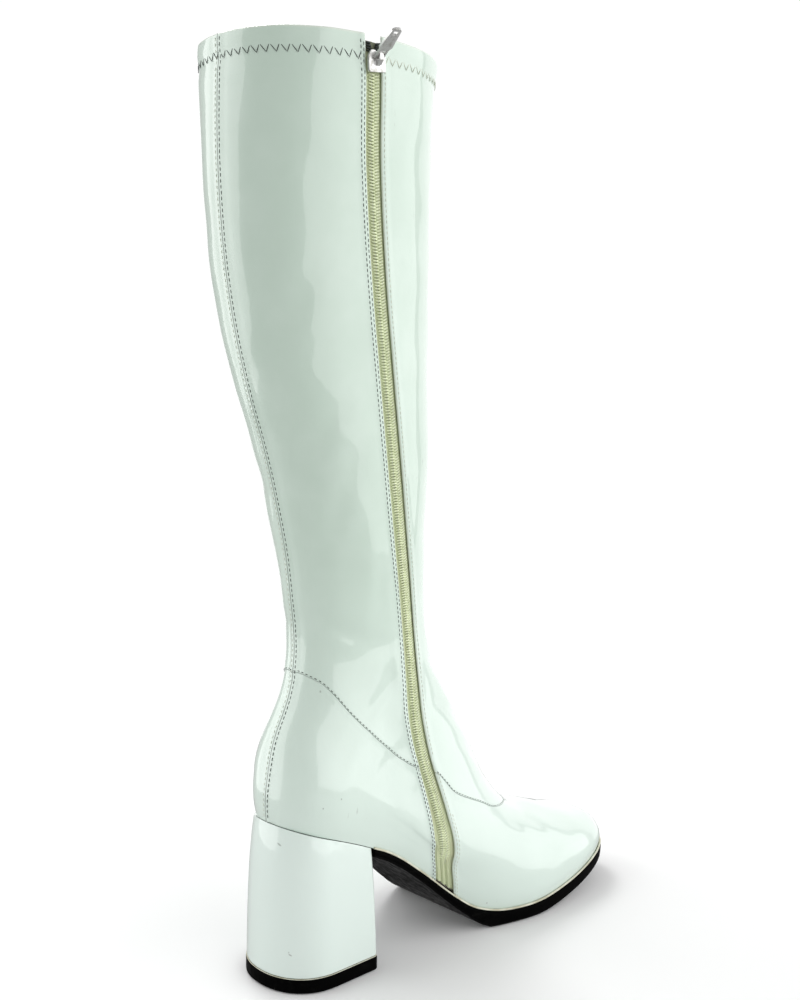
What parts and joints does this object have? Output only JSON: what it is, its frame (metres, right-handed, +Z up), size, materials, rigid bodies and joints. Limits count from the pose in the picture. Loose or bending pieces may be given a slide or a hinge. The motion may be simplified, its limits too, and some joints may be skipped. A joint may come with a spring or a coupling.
{
  "type": "go go boot",
  "caption": "Knee-high patent go-go boot with a high block heel, a round toe and a zip up the inner side.",
  "frame": {"origin": "centre of the top lift's flat underside, on the floor, under the heel", "axes": "+Y to the toe, +X to the inner side with the zip, +Z up the shaft"},
  "size_m": [0.1152, 0.2738, 0.4551],
  "materials": {
    "white_patent": "white patent vinyl with a slight green cast, mirror gloss",
    "black_sole": "smooth black moulded rubber, satin edge",
    "insole_cover": "pale textile sock lining",
    "zip_cloth": "woven olive-cream zip tape",
    "zip_nylon": "olive-cream nylon coil",
    "silver_metal": "bright nickel"
  },
  "bodies": {
    "boot": {"upper": "white_patent", "heel": "white_patent", "outsole": "black_sole", "top_lift": "black_sole", "insole": "insole_cover", "zip_tape_front": "zip_cloth", "zip_tape_rear": "zip_cloth", "zip_coil": "zip_nylon", "zip_slider": "silver_metal"},
    "pull": {"zip_pull": "silver_metal"}
  },
  "joints": [
    {"name": "pull_swing", "type": "hinge", "parent": "boot", "child": "pull", "pos_m": [0.05125, 0.00001, 0.44496], "axis": [0.0799, 0.9906, 0.1111], "range_deg": [-50, 122]}
  ]
}
